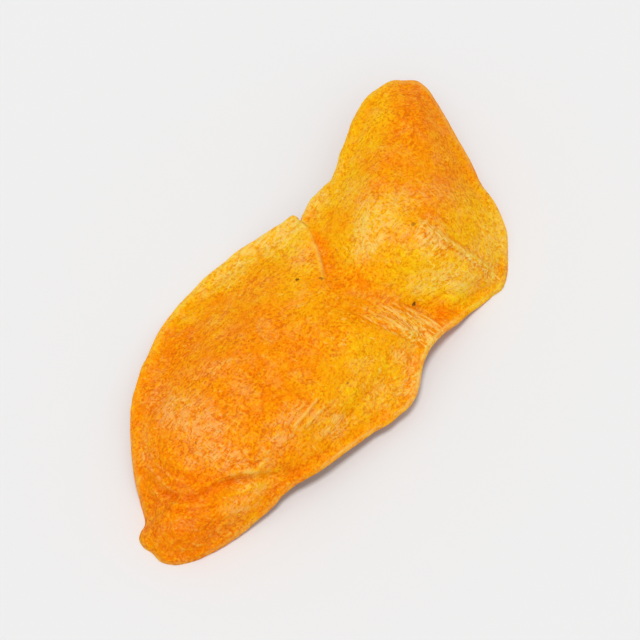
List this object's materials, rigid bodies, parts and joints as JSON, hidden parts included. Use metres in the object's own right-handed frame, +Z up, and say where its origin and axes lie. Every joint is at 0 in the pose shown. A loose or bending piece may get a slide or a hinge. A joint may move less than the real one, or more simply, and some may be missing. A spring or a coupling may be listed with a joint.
{
  "type": "dried apricot",
  "caption": "Dried apricot, slit, stoned and opened flat: two thin, leathery, buckled domes that stay joined at a waist, lying skin side up.",
  "frame": {"origin": "on the table, under the middle of the fruit's bounding box as it lies", "axes": "+Z up from the table; +Y from the larger half towards the tip of the smaller half, away from the front; +X to the right"},
  "size_m": [0.0472, 0.0668, 0.0108],
  "materials": {
    "dried_apricot": "matte, leathery, slightly translucent"
  },
  "bodies": {
    "root": {"dried_apricot": "dried_apricot"}
  },
  "joints": []
}
